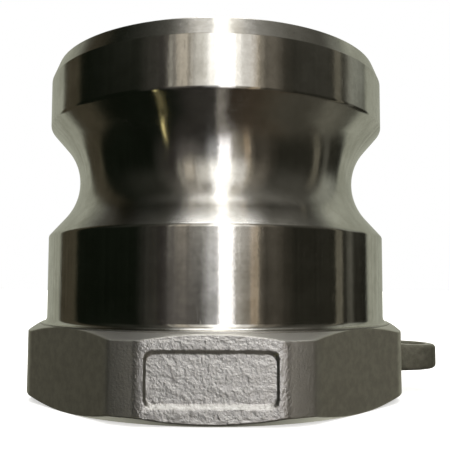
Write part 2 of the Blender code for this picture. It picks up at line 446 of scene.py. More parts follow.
def turning_tree():
    """Turns a section about Z, with the columns of faces crowded towards -Y."""
    tree, sizes = geometry_tree("turning", TURNING)
    profile = sizes["Geometry"]
    counter = node(tree, 'GeometryNodeAttributeDomainSize', {"Geometry": profile}, component='MESH')
    count = counter.outputs["Point Count"]
    rows = calc(tree, 'ADD', count, 1)
    columns = calc(tree, 'ADD', sizes["Columns"], 1)
    grid = node(tree, 'GeometryNodeMeshGrid', {"Vertices X": columns, "Vertices Y": rows})
    index = tree.nodes.new('GeometryNodeInputIndex').outputs["Index"]
    column = calc(tree, 'FLOOR', calc(tree, 'DIVIDE', index, rows))
    row = calc(tree, 'MODULO', calc(tree, 'MODULO', index, rows), count)
    position = tree.nodes.new('GeometryNodeInputPosition').outputs["Position"]
    point = node(tree, 'GeometryNodeSampleIndex', {"Geometry": profile, "Value": position, "Index": row},
                 data_type='FLOAT_VECTOR')
    polish = node(tree, 'GeometryNodeSampleIndex',
                  {"Geometry": profile, "Value": named(tree, "polish"), "Index": row}, data_type='FLOAT')
    place_on_section = node(tree, 'ShaderNodeSeparateXYZ', {"Vector": point.outputs["Value"]})
    radius = place_on_section.outputs["X"]
    share = calc(tree, 'DIVIDE', column, sizes["Columns"])
    even = calc(tree, 'MULTIPLY_ADD', share, 2 * math.pi, -math.pi)
    pull = calc(tree, 'MULTIPLY', sizes["Crowding"], calc(tree, 'SINE', even))
    angle = calc(tree, 'SUBTRACT', even, pull)
    x = calc(tree, 'MULTIPLY', radius, calc(tree, 'SINE', angle))
    y = calc(tree, 'MULTIPLY', radius, calc(tree, 'MULTIPLY', calc(tree, 'COSINE', angle), -1))
    turned = node(tree, 'ShaderNodeCombineXYZ', {"X": x, "Y": y, "Z": place_on_section.outputs["Z"]})
    kept = stored(tree, grid.outputs["Mesh"], "polish", polish.outputs["Value"])
    moved = node(tree, 'GeometryNodeSetPosition', {"Geometry": kept, "Position": turned.outputs["Vector"]})
    outward = node(tree, 'GeometryNodeFlipFaces', {"Mesh": moved.outputs["Geometry"]})
    closed = node(tree, 'GeometryNodeMergeByDistance',
                  {"Geometry": outward.outputs["Mesh"], "Distance": WELD_DISTANCE})
    end_tree(tree, closed.outputs["Geometry"], sizes)
    return tree


def spanner_base_tree():
    """Cuts the flats, raises the name pad, sinks its panel and roughens the cast faces."""
    tree, sizes = geometry_tree("spanner_base", SPANNER_BASE)
    position = tree.nodes.new('GeometryNodeInputPosition').outputs["Position"]
    parts = node(tree, 'ShaderNodeSeparateXYZ', {"Vector": position}).outputs
    across = calc(tree, 'ABSOLUTE', parts["X"])
    upward = calc(tree, 'ABSOLUTE', calc(tree, 'SUBTRACT', parts["Z"], sizes["Panel Z"]))
    level = vector_calc(tree, 'MULTIPLY', position, (1, 1, 0))
    radius = node(tree, 'ShaderNodeVectorMath', {0: level}, operation='LENGTH').outputs["Value"]
    angle = calc(tree, 'ARCTAN2', parts["X"], calc(tree, 'MULTIPLY', parts["Y"], -1))
    half_pitch = calc(tree, 'DIVIDE', math.pi, sizes["Flat Count"])
    off_flat = calc(tree, 'WRAP', angle, half_pitch, calc(tree, 'MULTIPLY', half_pitch, -1))
    aside = calc(tree, 'ABSOLUTE', angle)
    pad = calc(tree, 'LESS_THAN', aside, half_pitch)
    front = ramp_in_shares(tree, aside, half_pitch, LAND_GRAIN_EDGE)

    corner = sizes["Panel Corner"]
    side = calc(tree, 'DIVIDE', sizes["Panel Width"], 2)
    past_x = calc(tree, 'SUBTRACT', across, calc(tree, 'SUBTRACT', side, corner))
    half_height = calc(tree, 'DIVIDE', sizes["Panel Height"], 2)
    past_z = calc(tree, 'SUBTRACT', upward, calc(tree, 'SUBTRACT', half_height, corner))
    past = node(tree, 'ShaderNodeCombineXYZ', {"X": past_x, "Y": past_z}).outputs["Vector"]
    outward = node(tree, 'ShaderNodeVectorMath', {0: vector_calc(tree, 'MAXIMUM', past, (0, 0, 0))},
                   operation='LENGTH').outputs["Value"]
    inward = calc(tree, 'MINIMUM', calc(tree, 'MAXIMUM', past_x, past_z), 0)
    wobble_inputs = {"Vector": position, "W": sizes["Grain Seed"], "Detail": 2,
                     "Scale": calc(tree, 'DIVIDE', WOBBLES_PER_GRAIN, sizes["Grain Size"])}
    wobble = node(tree, 'ShaderNodeTexNoise', wobble_inputs, noise_dimensions='4D').outputs["Fac"]
    outline = calc(tree, 'MULTIPLY_ADD', calc(tree, 'SUBTRACT', wobble, 0.5), sizes["Panel Wobble"], corner)
    beyond = calc(tree, 'SUBTRACT', calc(tree, 'ADD', outward, inward), outline)
    half_slope = calc(tree, 'DIVIDE', sizes["Panel Wall"], 2)
    panel = calc(tree, 'MULTIPLY', pad,
                 ramp(tree, beyond, half_slope, calc(tree, 'MULTIPLY', half_slope, -1)))

    grain_inputs = {"Vector": position, "W": sizes["Grain Seed"], "Detail": 3, "Roughness": GRAIN_ROUGHNESS,
                    "Scale": calc(tree, 'DIVIDE', 1, sizes["Grain Size"])}
    grain = node(tree, 'ShaderNodeTexNoise', grain_inputs, noise_dimensions='4D').outputs["Fac"]
    on_pad = ramp_in_shares(tree, across, sizes["Panel Width"], PAD_GRAIN_EDGE)
    coarse = calc(tree, 'MAXIMUM', on_pad, between(tree, front, FLAT_COARSENESS, LAND_COARSENESS))
    bump = calc(tree, 'MULTIPLY', calc(tree, 'SUBTRACT', grain, 0.5),
                calc(tree, 'MULTIPLY', sizes["Grain Depth"], coarse))

    rise = calc(tree, 'MULTIPLY', pad, calc(tree, 'SUBTRACT', sizes["Pad Face"], sizes["Flat Distance"]))
    sink = calc(tree, 'MULTIPLY', panel, sizes["Panel Depth"])
    raised = calc(tree, 'ADD', sizes["Flat Distance"], rise)
    face = calc(tree, 'ADD', calc(tree, 'SUBTRACT', raised, sink), bump)
    limit = calc(tree, 'DIVIDE', face, calc(tree, 'COSINE', off_flat))
    cut = calc(tree, 'SMOOTH_MIN', radius, limit, sizes["Edge Softness"])
    pull = calc(tree, 'DIVIDE', cut, radius)
    outer = calc(tree, 'GREATER_THAN', radius, sizes["Rim Radius"])
    beside = ramp_in_shares(tree, upward, sizes["Panel Height"], GATHERING_HEIGHTS)
    off_side = calc(tree, 'SUBTRACT', across, side)
    close = ramp(tree, calc(tree, 'ABSOLUTE', off_side), GATHERING_REACH, 0.0)
    on_face = calc(tree, 'MULTIPLY', pad, outer)
    at_side = calc(tree, 'MULTIPLY', on_face, calc(tree, 'MULTIPLY', beside, close))
    gather = between(tree, at_side, 1.0, sizes["Side Gathering"])
    shift = calc(tree, 'DIVIDE', calc(tree, 'MULTIPLY_ADD', off_side, gather, side), across)
    stretch = node(tree, 'ShaderNodeCombineXYZ', {
        "X": calc(tree, 'MULTIPLY', pull, shift), "Y": pull, "Z": 1.0}).outputs["Vector"]

    flat = ramp(tree, calc(tree, 'SUBTRACT', radius, limit), -FLAT_SKIN_BLEND, FLAT_SKIN_BLEND)
    land = ramp(tree, calc(tree, 'SUBTRACT', sizes["Land Radius"], radius), *LAND_SKIN_BLEND)
    skin = calc(tree, 'MAXIMUM', flat, land)
    kept = stored(tree, sizes["Geometry"], "cast", skin)
    kept = stored(tree, kept, "grain", calc(tree, 'MULTIPLY', skin, coarse))
    moved = node(tree, 'GeometryNodeSetPosition',
                 {"Geometry": kept, "Position": vector_calc(tree, 'MULTIPLY', position, stretch)})
    low = calc(tree, 'LESS_THAN', parts["Z"], sizes["Base Height"])
    end_tree(tree, moved.outputs["Geometry"], sizes, calc(tree, 'MULTIPLY', low, outer))
    return tree


def thread_tree():
    """A ridge with a trapezoid section that winds up the socket's wall and runs out at both ends."""
    tree, sizes = geometry_tree("pipe_thread", THREAD)
    height = calc(tree, 'SUBTRACT', sizes["Root Radius"], sizes["Crest Radius"])
    full_height = calc(tree, 'ADD', height, sizes["Buried"])
    helix = node(tree, 'GeometryNodeCurveSpiral', {
        "Resolution": sizes["Steps per Turn"],
        "Rotations": sizes["Turns"],
        "Start Radius": sizes["Root Radius"],
        "End Radius": sizes["Root Radius"],
        "Height": calc(tree, 'MULTIPLY', sizes["Pitch"], sizes["Turns"]),
    })
    level = node(tree, 'GeometryNodeSetCurveNormal', {"Curve": helix.outputs["Curve"]}, mode='Z_UP')
    ridge = node(tree, 'GeometryNodeCurvePrimitiveQuadrilateral', {
        "Height": full_height,
        "Bottom Width": calc(tree, 'MULTIPLY', sizes["Pitch"], sizes["Root Share"]),
        "Top Width": calc(tree, 'MULTIPLY', sizes["Pitch"], sizes["Crest Share"]),
        "Offset": 0.0,
    }, mode='TRAPEZOID')
    soft = node(tree, 'GeometryNodeFilletCurve',
                {"Curve": ridge.outputs["Curve"], "Count": sizes["Crest Steps"],
                 "Radius": sizes["Crest Round"]}, mode='POLY')
    lift = calc(tree, 'SUBTRACT', calc(tree, 'DIVIDE', full_height, 2), sizes["Buried"])
    seated = node(tree, 'GeometryNodeTransform', {
        "Geometry": soft.outputs["Curve"],
        "Rotation": (0, 0, -math.pi / 2),
        "Translation": node(tree, 'ShaderNodeCombineXYZ', {"X": lift}).outputs["Vector"],
    })
    factor = tree.nodes.new('GeometryNodeSplineParameter').outputs["Factor"]
    fade_in = ramp(tree, factor, 0.0, sizes["Run Out"])
    fade_out = ramp(tree, factor, 1.0, calc(tree, 'SUBTRACT', 1, sizes["Run Out"]))
    scale = between(tree, calc(tree, 'MULTIPLY', fade_in, fade_out), sizes["Run Out Scale"], 1.0)
    swept = node(tree, 'GeometryNodeCurveToMesh', {
        "Curve": level.outputs["Curve"],
        "Profile Curve": seated.outputs["Geometry"],
        "Scale": scale,
        "Fill Caps": True,
    })
    raised = node(tree, 'GeometryNodeTransform', {
        "Geometry": swept.outputs["Mesh"],
        "Translation": node(tree, 'ShaderNodeCombineXYZ', {"Z": sizes["Start Z"]}).outputs["Vector"],
    })
    kept = stored(tree, raised.outputs["Geometry"], "polish", PLAIN)
    end_tree(tree, kept, sizes)
    return tree


# Pieces

def settled(piece):
    """Turn a piece's modified shape into its own plain mesh, smooth but for its edges."""
    depsgraph = bpy.context.evaluated_depsgraph_get()
    mesh = bpy.data.meshes.new_from_object(piece.evaluated_get(depsgraph))
    piece.modifiers.clear()
    piece.data = mesh
    if mesh.materials[0] is None:
        mesh.materials.pop(index=0)
    mesh.shade_smooth()
    mesh.set_sharp_from_angle(angle=SHARP_ANGLE)
    return piece


def lug_angles(half_width, length):
    """Angles about the lug's eye: even round the end, and closer along the sides towards the root."""
    end_steps = 60
    side_steps = 22
    root_steps = 10
    crowding = 1.6
    end = [math.pi * (i / end_steps - 0.5) for i in range(end_steps)]
    backs = [length * (1 - (1 - i / side_steps) ** crowding) for i in range(side_steps + 1)]
    far_side = [math.atan2(half_width, -back) for back in backs]
    heights = [half_width * (1 - 2 * i / root_steps) for i in range(1, root_steps)]
    root = [math.atan2(height, -length) % (2 * math.pi) for height in heights]
    near_side = [2 * math.pi - angle for angle in reversed(far_side[1:])]
    return end + far_side + root + near_side


def lug_dullness(x, z):
    """How much painted shade, with added roughness, the lug gets at a point: all on its upright faces, less
    on its level faces so that they read lighter, and none at its root.
    """
    share = min(max((x - FLAT_DISTANCE) / LUG_SHADE_FADE, 0), 1)
    return share * LUG_LEVEL_FACE_SHADE if abs(z) > LUG_FACE_SHARE * LUG_HALF_THICKNESS else share


def chain_lug(finish):
    """The round-ended cast lug with its eye, drafted and filleted towards the flat that carries it."""
    face_steps = 7
    half_width = LUG_TIP_X - LUG_EYE_X
    length = LUG_EYE_X - FLAT_DISTANCE + LUG_BURIED
    angles = lug_angles(half_width, length)
    points = []
    dullness = []
    for angle in angles:
        reach = half_width
        if math.cos(angle) < 0:
            side = half_width / max(abs(math.sin(angle)), TINY)
            reach = min(side, length / -math.cos(angle))
        for distance, z in lug_ring(reach, face_steps):
            x = LUG_EYE_X + distance * math.cos(angle)
            y = distance * math.sin(angle)
            points.append(lug_flare(x, y, z))
            dullness.append(lug_dullness(x, z))
    turns = len(angles)
    size = len(points) // turns
    faces = []
    for i in range(turns):
        for j in range(size):
            near = i * size
            far = (i + 1) % turns * size
            following = (j + 1) % size
            faces.append((near + j, near + following, far + following, far + j))
    mesh = bpy.data.meshes.new("chain_lug")
    mesh.from_pydata(points, [], faces)
    mesh.materials.append(finish)
    skin = {label: [value] * len(points) for label, value in LUG_SKIN.items()}
    # The lug's painted shade share goes onto its points along with its skin
    for label, values in {**skin, "dull": dullness}.items():
        mark = mesh.attributes.new(label, 'FLOAT', 'POINT')
        mark.data.foreach_set("value", values)
    return place("chain_lug", mesh)


def lug_ring(reach, face_steps):
    """Section of the lug from its eye out to a reach, as (distance from the eye, height) points."""
    half = LUG_HALF_THICKNESS
    eye = LUG_EYE_RADIUS
    corners = [(eye, -half, LUG_EYE_ROUND), (eye, half, LUG_EYE_ROUND),
               (reach, half, LUG_EDGE_ROUND), (reach, -half, LUG_EDGE_ROUND)]
    ring = []
    for i, (r, z, radius) in enumerate(corners):
        before = corners[i - 1][:2]
        after = corners[(i + 1) % 4][:2]
        ring += rounded_corner(before, (r, z), after, radius, ROUND_STEPS)
        if i in (1, 3):
            start = ring[-1]
            end = rounded_corner((r, z), after, corners[(i + 2) % 4][:2], corners[(i + 1) % 4][2], 1)[0]
            step = math.dist(start, end) / face_steps
            ring += [along(start, end, step * k) for k in range(1, face_steps)]
    return ring


def lug_flare(x, y, z):
    """A point of the lug moved out by its draft and by the fillet at its root."""
    out = min(max((x - FLAT_DISTANCE) / LUG_ROOT_FILLET, 0), 1)
    fillet = LUG_ROOT_FILLET * (1 - math.sqrt(1 - (1 - out) ** 2))
    draft = LUG_DRAFT * max(0, (LUG_TIP_X - x) / (LUG_TIP_X - FLAT_DISTANCE))
    outside = math.hypot(x - LUG_EYE_X, y) > LUG_EYE_RADIUS + LUG_EYE_ROUND
    side = min(1, abs(y) / (LUG_TIP_X - LUG_EYE_X)) ** LUG_SIDE_POWER
    grown_y = y + math.copysign(fillet * side, y) if outside else y
    grown_z = z * (1 + (draft + fillet) / LUG_HALF_THICKNESS)
    return (x, grown_y, BASE_MIDDLE_Z + grown_z)


def adapter_casting(turning, turned_finish, cast_finish):
    """The casting: turned section, spanner base with its pad, and the chain lug, in one skin."""
    casting = section_object("adapter_casting", casting_section())
    add_tree(casting, turning, TURNING, turned_finish)
    add_tree(casting, spanner_base_tree(), SPANNER_BASE, cast_finish)
    lug = chain_lug(cast_finish)
    union = casting.modifiers.new("chain_lug", 'BOOLEAN')
    union.operation = 'UNION'
    union.solver = 'MANIFOLD'
    union.material_mode = 'TRANSFER'
    union.object = lug
    settled(casting)
    bpy.data.objects.remove(lug)
    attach(casting, "root")
    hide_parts("adapter_body")
    return casting


def socket_thread(finish):
    """The female pipe thread in the socket."""
    thread = place("socket_thread", bpy.data.meshes.new("socket_thread"))
    add_tree(thread, thread_tree(), THREAD, finish)
    settled(thread)
    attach(thread, "root")
    return thread


def seal_ring(turning, finish):
    """The flat ring that lies under the seat, with soft edges."""
    outer = SEAL_HIGH.x
    inner = SEAL_INNER_RADIUS
    edge = (SEAL_EDGE_ROUND, ROUND_STEPS)
    corners = [(outer, SEAL_HIGH.z), (outer, SEAL_LOW.z), (inner, SEAL_LOW.z), (inner, SEAL_HIGH.z)]
    ring = section_object("seal_ring", section([(r, z, PLAIN, *edge) for r, z in corners]))
    add_tree(ring, turning, {"Columns": SEAL_COLUMNS, "Crowding": 0.0}, finish)
    settled(ring)
    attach(ring, "root")
    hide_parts("thread_seal")
    return ring


# Materials

# Colours, from dark to light where there are two
BRIGHT_STEEL = ((0.55, 0.535, 0.495, 1), (0.69, 0.675, 0.64, 1))
SATIN_STEEL = ((0.72, 0.705, 0.665, 1), (0.77, 0.755, 0.715, 1))
FLAT_STEEL = ((0.69, 0.66, 0.585, 1), (0.83, 0.805, 0.715, 1))
PAD_STEEL = (0.67, 0.66, 0.635, 1)
# Painted shade colours for the lug's upright faces
DULL_SHADED_STEEL = ((0.275, 0.27, 0.215, 1), (0.37, 0.365, 0.30, 1))
# Painted shade for the corner under the rim's step
PAINTED_STEP_SHADE = (0.17, 0.155, 0.13, 1)
SEAL_STOCK = ((0.80, 0.79, 0.74, 1), (0.87, 0.86, 0.82, 1))

# Marks of the lathe, and what handling leaves on the bright faces
RING_PITCH = 0.09 * MM
SATIN_RING_PITCH = 0.12 * MM
RING_STRETCH = (0.004, 0.004, 1)
RING_HEIGHT = 0.0012 * MM
WAVE_SIZE = 1.6 * MM
WAVES_TO_RINGS = 8.0
STAIN_SIZE = 5 * MM
STAIN_EDGE = (0.32, 0.68)
PATCH_SIZE = 7 * MM
HANDLED_EDGE = (0.48, 0.60)
SCRATCH_SIZE = 0.28 * MM
SCRATCH_STRETCH = (1, 1, 0.09)
SCRATCH_EDGE = (0.62, 0.70)
SCUFFED_POLISH = 0.9
SMEAR_SIZE = 1.2 * MM

# Roughness of the bright faces: from dull to bright, and what rings, smears and scratches add
POLISH_ROUGHNESS = (0.45, 0.135)
RING_ROUGHNESS = 0.06
SMEAR_ROUGHNESS = 0.10
MEAN_ROUGHNESS_ADDED = 0.08
SCRATCH_ROUGHNESS = 0.12

# The casting's skin: its specks and mottling, its roughness, and the height of its specks in mm
SPECK_SIZE = 0.35 * MM
MOTTLING_SIZE = 1.3 * MM
MOTTLING_EDGE = (0.3, 0.7)
SATIN_ROUGHNESS = (0.34, 0.44)
SKIN_ROUGHNESS = (0.42, 0.62)
PAD_ROUGHNESS_LOST = 0.2
PAD_WEAR_POWER = 4.0
DULL_ROUGHNESS_ADDED = 0.28
SPECK_HEIGHT = (0.012, 0.09)

# The seal ring's stock
SEAL_CLOUD_SIZE = 3 * MM
SEAL_RING_PITCH = 0.3 * MM
SEAL_RING_STRETCH = (1, 1, 0.1)
SEAL_RING_HEIGHT = 0.02 * MM
SEAL_ROUGHNESS = (0.38, 0.52)


def new_material(name):
    """A material with its tree and its Principled shader."""
    finish = bpy.data.materials.new(name)
    finish.use_nodes = True
    tree = finish.node_tree
    return finish, tree, tree.nodes["Principled BSDF"]


def attribute(tree, label):
    """A piece's own attribute, as a number for a material."""
    return node(tree, 'ShaderNodeAttribute', attribute_name=label).outputs["Fac"]


def noise(tree, place_on_piece, size, detail=2.0, roughness=0.5, stretch=(1, 1, 1)):
    """Noise with features of about a size in metres, stretched along the axes."""
    laid = node(tree, 'ShaderNodeMapping', {"Vector": place_on_piece, "Scale": stretch}).outputs["Vector"]
    inputs = {"Vector": laid, "Scale": 1 / size, "Detail": detail, "Roughness": roughness}
    return node(tree, 'ShaderNodeTexNoise', inputs).outputs["Fac"]


def mixed(tree, factor, first, second):
    """A colour between two others."""
    made = node(tree, 'ShaderNodeMix', {"Factor": factor}, data_type='RGBA')
    put(tree, made.inputs[6], first)
    put(tree, made.inputs[7], second)
    return made.outputs[2]


def with_painted_step_shade(tree, colour):
    """A colour with painted shade where the polish runs out, in the corner under the rim's step."""
    unshaded = ramp(tree, attribute(tree, "polish"), SHADED_STEP, PLAIN)
    return mixed(tree, unshaded, PAINTED_STEP_SHADE, colour)


def scuffs(tree, spot, polish, patches):
    """Faint upright scratches on the brightest faces, which come in patches."""
    scratches = ramp(tree, noise(tree, spot, SCRATCH_SIZE, stretch=SCRATCH_STRETCH), *SCRATCH_EDGE)
    handled = ramp(tree, patches, *HANDLED_EDGE)
    brightest = ramp(tree, polish, SCUFFED_POLISH, BRIGHT)
    return calc(tree, 'MULTIPLY', scratches, calc(tree, 'MULTIPLY', handled, brightest))


def turned_steel():
    """Bright stainless steel from the lathe: fine rings, so that reflections spread along the axis."""
    finish, tree, shader = new_material("turned_steel")
    spot = tree.nodes.new('ShaderNodeTexCoord').outputs["Object"]
    polish = attribute(tree, "polish")
    rings = noise(tree, spot, RING_PITCH, detail=3, roughness=0.6, stretch=RING_STRETCH)
    patches = noise(tree, spot, PATCH_SIZE, detail=3, roughness=0.55)

    stains = ramp(tree, noise(tree, spot, STAIN_SIZE, detail=4, roughness=0.65), *STAIN_EDGE)
    # The base colour carries the painted shade of the rim's step
    put(tree, shader.inputs["Base Color"], with_painted_step_shade(tree, mixed(tree, stains, *BRIGHT_STEEL)))
    shader.inputs["Metallic"].default_value = 1.0
    shader.inputs["Anisotropic"].default_value = 1.0

    bright = between(tree, polish, *POLISH_ROUGHNESS)
    smears = noise(tree, spot, SMEAR_SIZE, detail=3, roughness=0.6)
    smeared = calc(tree, 'MULTIPLY', smears, SMEAR_ROUGHNESS)
    uneven = calc(tree, 'MULTIPLY_ADD', rings, RING_ROUGHNESS, smeared)
    clear = calc(tree, 'ADD', bright, calc(tree, 'SUBTRACT', uneven, MEAN_ROUGHNESS_ADDED))
    scratches = scuffs(tree, spot, polish, patches)
    put(tree, shader.inputs["Roughness"], calc(tree, 'MULTIPLY_ADD', scratches, SCRATCH_ROUGHNESS, clear))

    around = vector_calc(tree, 'CROSS_PRODUCT', (0, 0, 1), spot)
    normal = tree.nodes.new('ShaderNodeNewGeometry').outputs["Normal"]
    put(tree, shader.inputs["Tangent"], vector_calc(tree, 'CROSS_PRODUCT', around, normal))
    waves = noise(tree, spot, WAVE_SIZE, detail=4, roughness=0.6)
    height = calc(tree, 'MULTIPLY_ADD', waves, WAVES_TO_RINGS, rings)
    bump = node(tree, 'ShaderNodeBump', {"Height": height, "Distance": RING_HEIGHT, "Strength": 1.0})
    put(tree, shader.inputs["Normal"], bump.outputs["Normal"])
    return finish


def cast_steel():
    """The base and the lug: the grey blasted skin of the casting, and satin where it is turned."""
    finish, tree, shader = new_material("cast_steel")
    spot = tree.nodes.new('ShaderNodeTexCoord').outputs["Object"]
    cast = attribute(tree, "cast")
    grain = attribute(tree, "grain")
    dull = attribute(tree, "dull")
    rings = noise(tree, spot, SATIN_RING_PITCH, detail=3, roughness=0.6, stretch=RING_STRETCH)
    patches = noise(tree, spot, PATCH_SIZE, detail=3, roughness=0.55)
    specks = noise(tree, spot, SPECK_SIZE, detail=3, roughness=0.6)

    turned_colour = mixed(tree, patches, *SATIN_STEEL)
    mottling = ramp(tree, noise(tree, spot, MOTTLING_SIZE, detail=4, roughness=0.6), *MOTTLING_EDGE)
    flat_colour = mixed(tree, mottling, *FLAT_STEEL)
    cast_colour = mixed(tree, grain, flat_colour, PAD_STEEL)
    # The lug's upright faces take a painted shade colour, with its level faces less so
    skin_and_shade_colour = mixed(tree, dull, cast_colour, mixed(tree, mottling, *DULL_SHADED_STEEL))
    # The base colour carries the painted shade of the rim's step
    put(tree, shader.inputs["Base Color"], with_painted_step_shade(tree, mixed(tree, cast, turned_colour, skin_and_shade_colour)))
    shader.inputs["Metallic"].default_value = 1.0

    turned_rough = between(tree, rings, *SATIN_ROUGHNESS)
    worn = calc(tree, 'POWER', grain, PAD_WEAR_POWER)
    speckled = between(tree, specks, *SKIN_ROUGHNESS)
    skin_rough = calc(tree, 'MULTIPLY_ADD', worn, -PAD_ROUGHNESS_LOST, speckled)
    cast_rough = calc(tree, 'MULTIPLY_ADD', dull, DULL_ROUGHNESS_ADDED, skin_rough)
    rough = node(tree, 'ShaderNodeMix', {0: cast, 2: turned_rough, 3: cast_rough}, data_type='FLOAT')
    put(tree, shader.inputs["Roughness"], rough.outputs[0])

    turned_height = calc(tree, 'MULTIPLY', rings, RING_HEIGHT / MM)
    cast_height = calc(tree, 'MULTIPLY', specks, between(tree, grain, *SPECK_HEIGHT))
    height = node(tree, 'ShaderNodeMix', {0: cast, 2: turned_height, 3: cast_height}, data_type='FLOAT')
    bump = node(tree, 'ShaderNodeBump', {"Height": height.outputs[0], "Distance": MM, "Strength": 1.0})
    put(tree, shader.inputs["Normal"], bump.outputs["Normal"])
    return finish


def seal_finish():
    """Off-white ring stock, slightly waxy, with faint rings from parting."""
    finish, tree, shader = new_material("seal_ring_stock")
    spot = tree.nodes.new('ShaderNodeTexCoord').outputs["Object"]
    clouds = noise(tree, spot, SEAL_CLOUD_SIZE, detail=3)
    rings = noise(tree, spot, SEAL_RING_PITCH, stretch=SEAL_RING_STRETCH)
    put(tree, shader.inputs["Base Color"], mixed(tree, clouds, *SEAL_STOCK))
    put(tree, shader.inputs["Roughness"], between(tree, rings, *SEAL_ROUGHNESS))
    bump = node(tree, 'ShaderNodeBump', {"Height": rings, "Distance": SEAL_RING_HEIGHT, "Strength": 1.0})
    put(tree, shader.inputs["Normal"], bump.outputs["Normal"])
    return finish


# Studio

# Panels round the part: azimuth from the front towards +X and elevation, each as start, end and softness
# in degrees, and the light that they send
WALL_PANELS = {
    "backdrop_left": ((-200, -122, 3), (-27, 38, 9), (0.37, 0.38, 0.31)),
    "backdrop_right": ((119, 200, 3), (-38, 46, 8), (0.37, 0.38, 0.31)),
    "backdrop_right_upper": ((99, 117, 4), (14, 44, 7), (0.28, 0.29, 0.25)),
    "left_board": ((-121, -101, 3), (-50, 50, 15), (0.060, 0.052, 0.034)),
    "left_dark": ((-104, -36, 5), (-100, 100, 1), (0.006, 0.008, 0.005)),
    "left_haze": ((-80, -30, 22), (20, 70, 12), (0.020, 0.019, 0.016)),
    "window": ((2.8, 12.2, 1.2), (-26, 30, 8), (1.9, 1.85, 1.9)),
    "window_upper": ((-2.5, 15, 4.5), (10, 78, 8), (1.5, 1.5, 1.5)),
    "wall_upper": ((-31, 31, 2.5), (9, 78, 9), (0.13, 0.12, 0.10)),
    "frame_upper": ((-29.4, -27.6, 0.8), (9, 60, 9), (0.24, 0.24, 0.21)),
    "board_upper": ((-24.5, -16.8, 1.3), (9, 36, 9), (0.42, 0.38, 0.31)),
    "slat_upper": ((-15.8, -14.2, 0.6), (9, 60, 9), (0.44, 0.42, 0.37)),
    "pane_upper_left": ((-13.5, -1, 2.5), (9, 42, 9), (0.68, 0.67, 0.63)),
    "pane_upper_right": ((14, 25, 3), (9, 46, 9), (0.64, 0.65, 0.67)),
    "room_upper_right": ((25, 42, 6), (9, 50, 9), (0.10, 0.09, 0.075)),
    "slat_upper_right": ((24.2, 26.6, 0.9), (9, 60, 9), (0.15, 0.15, 0.15)),
    "glow_upper": ((-40, 46, 13), (38, 78, 22), (0.11, 0.105, 0.095)),
    "room_left": ((-46, 3, 6), (-24, 100, 9), (0.032, 0.029, 0.026)),
    "reveal_left": ((-30, -12, 5), (-24, 100, 9), (0.065, 0.061, 0.058)),
    "reveal_left_near": ((-5, 4, 5), (-24, 40, 9), (0.42, 0.42, 0.43)),
    "reveal_right": ((12, 29, 2.5), (-35, 100, 12), (0.21, 0.185, 0.145)),
    "reveal_right_near": ((11, 18, 3), (-35, 14, 8), (0.14, 0.14, 0.135)),
    "oak_stripe": ((22.6, 27.2, 1.0), (-35, 14, 8), (0.19, 0.13, 0.075)),
    "room_right": ((29, 46, 8), (-40, 60, 20), (0.065, 0.058, 0.045)),
    "room_far_right": ((46, 116, 8), (-100, 100, 1), (0.024, 0.023, 0.017)),
    "room_far_upper": ((50, 116, 10), (20, 100, 15), (0.05, 0.048, 0.042)),
    "right_stripe": ((84.5, 90.5, 1.5), (-30, 32, 8), (0.135, 0.125, 0.095)),
    "right_shade": ((95, 101, 2), (-60, 30, 10), (0.08, 0.078, 0.065)),
    "table_left": ((-36, 1, 5), (-100, -26, 12), (0.030, 0.028, 0.024)),
    "table_glare": ((1, 12, 4), (-100, -25, 10), (0.24, 0.225, 0.20)),
    "table_right": ((12, 60, 12), (-100, -30, 12), (0.044, 0.033, 0.022)),
    "table_far_right": ((58, 96, 10), (-70, -28, 12), (0.042, 0.038, 0.03)),
    "table_side_right": ((98, 122, 8), (-70, -28, 12), (0.13, 0.125, 0.1)),
    "table_below": ((-200, 200, 1), (-100, -76, 6), (0.05, 0.047, 0.04)),
}
# Panels behind the part: azimuth from the back, and elevation, in the same way
BACK_PANELS = {
    "upper": ((-48, 48, 14), (42, 86, 10), (0.48, 0.48, 0.43)),
    "lower": ((-28, 28, 9), (-42, -27, 4), (0.95, 0.95, 0.8)),
    "under": ((-60, 60, 12), (-84, -45, 7), (0.01, 0.01, 0.008)),
}
# Panels overhead: angle to the side of the part's middle plane, and elevation, in the same way
CEILING_PANELS = {
    "strip": ((-12, 15, 8), (71, 100, 5), (2.6, 2.6, 2.6)),
    "ceiling_right": ((4, 100, 8), (58, 100, 12), (0.20, 0.195, 0.18)),
    "ceiling_left": ((-100, 0, 8), (64, 100, 12), (0.14, 0.137, 0.125)),
}
# A leaning lamp: azimuth that grows with elevation, and elevation, in the same way
LAMP_LEAN = 0.47
LEANING_PANELS = {
    "warm_lamp": ((-26.8, -26.2, 0.4), (-50, -28, 6), (5.6, 4.8, 2.2)),
    "warm_lamp_tail": ((-26.6, -26.4, 0.25), (-61, -50, 6), (3.8, 3.2, 1.6)),
}
# Upright streaks in the surround
STREAK_WIDTH = 2.0
STREAK_RANGE = (0.35, 1.65)


def band(tree, angle, start, end, softness):
    """1 where an angle lies between two others, with soft edges."""
    rise = ramp(tree, angle, start - softness, start + softness)
    fall = ramp(tree, angle, end + softness, end - softness)
    return calc(tree, 'MULTIPLY', rise, fall)


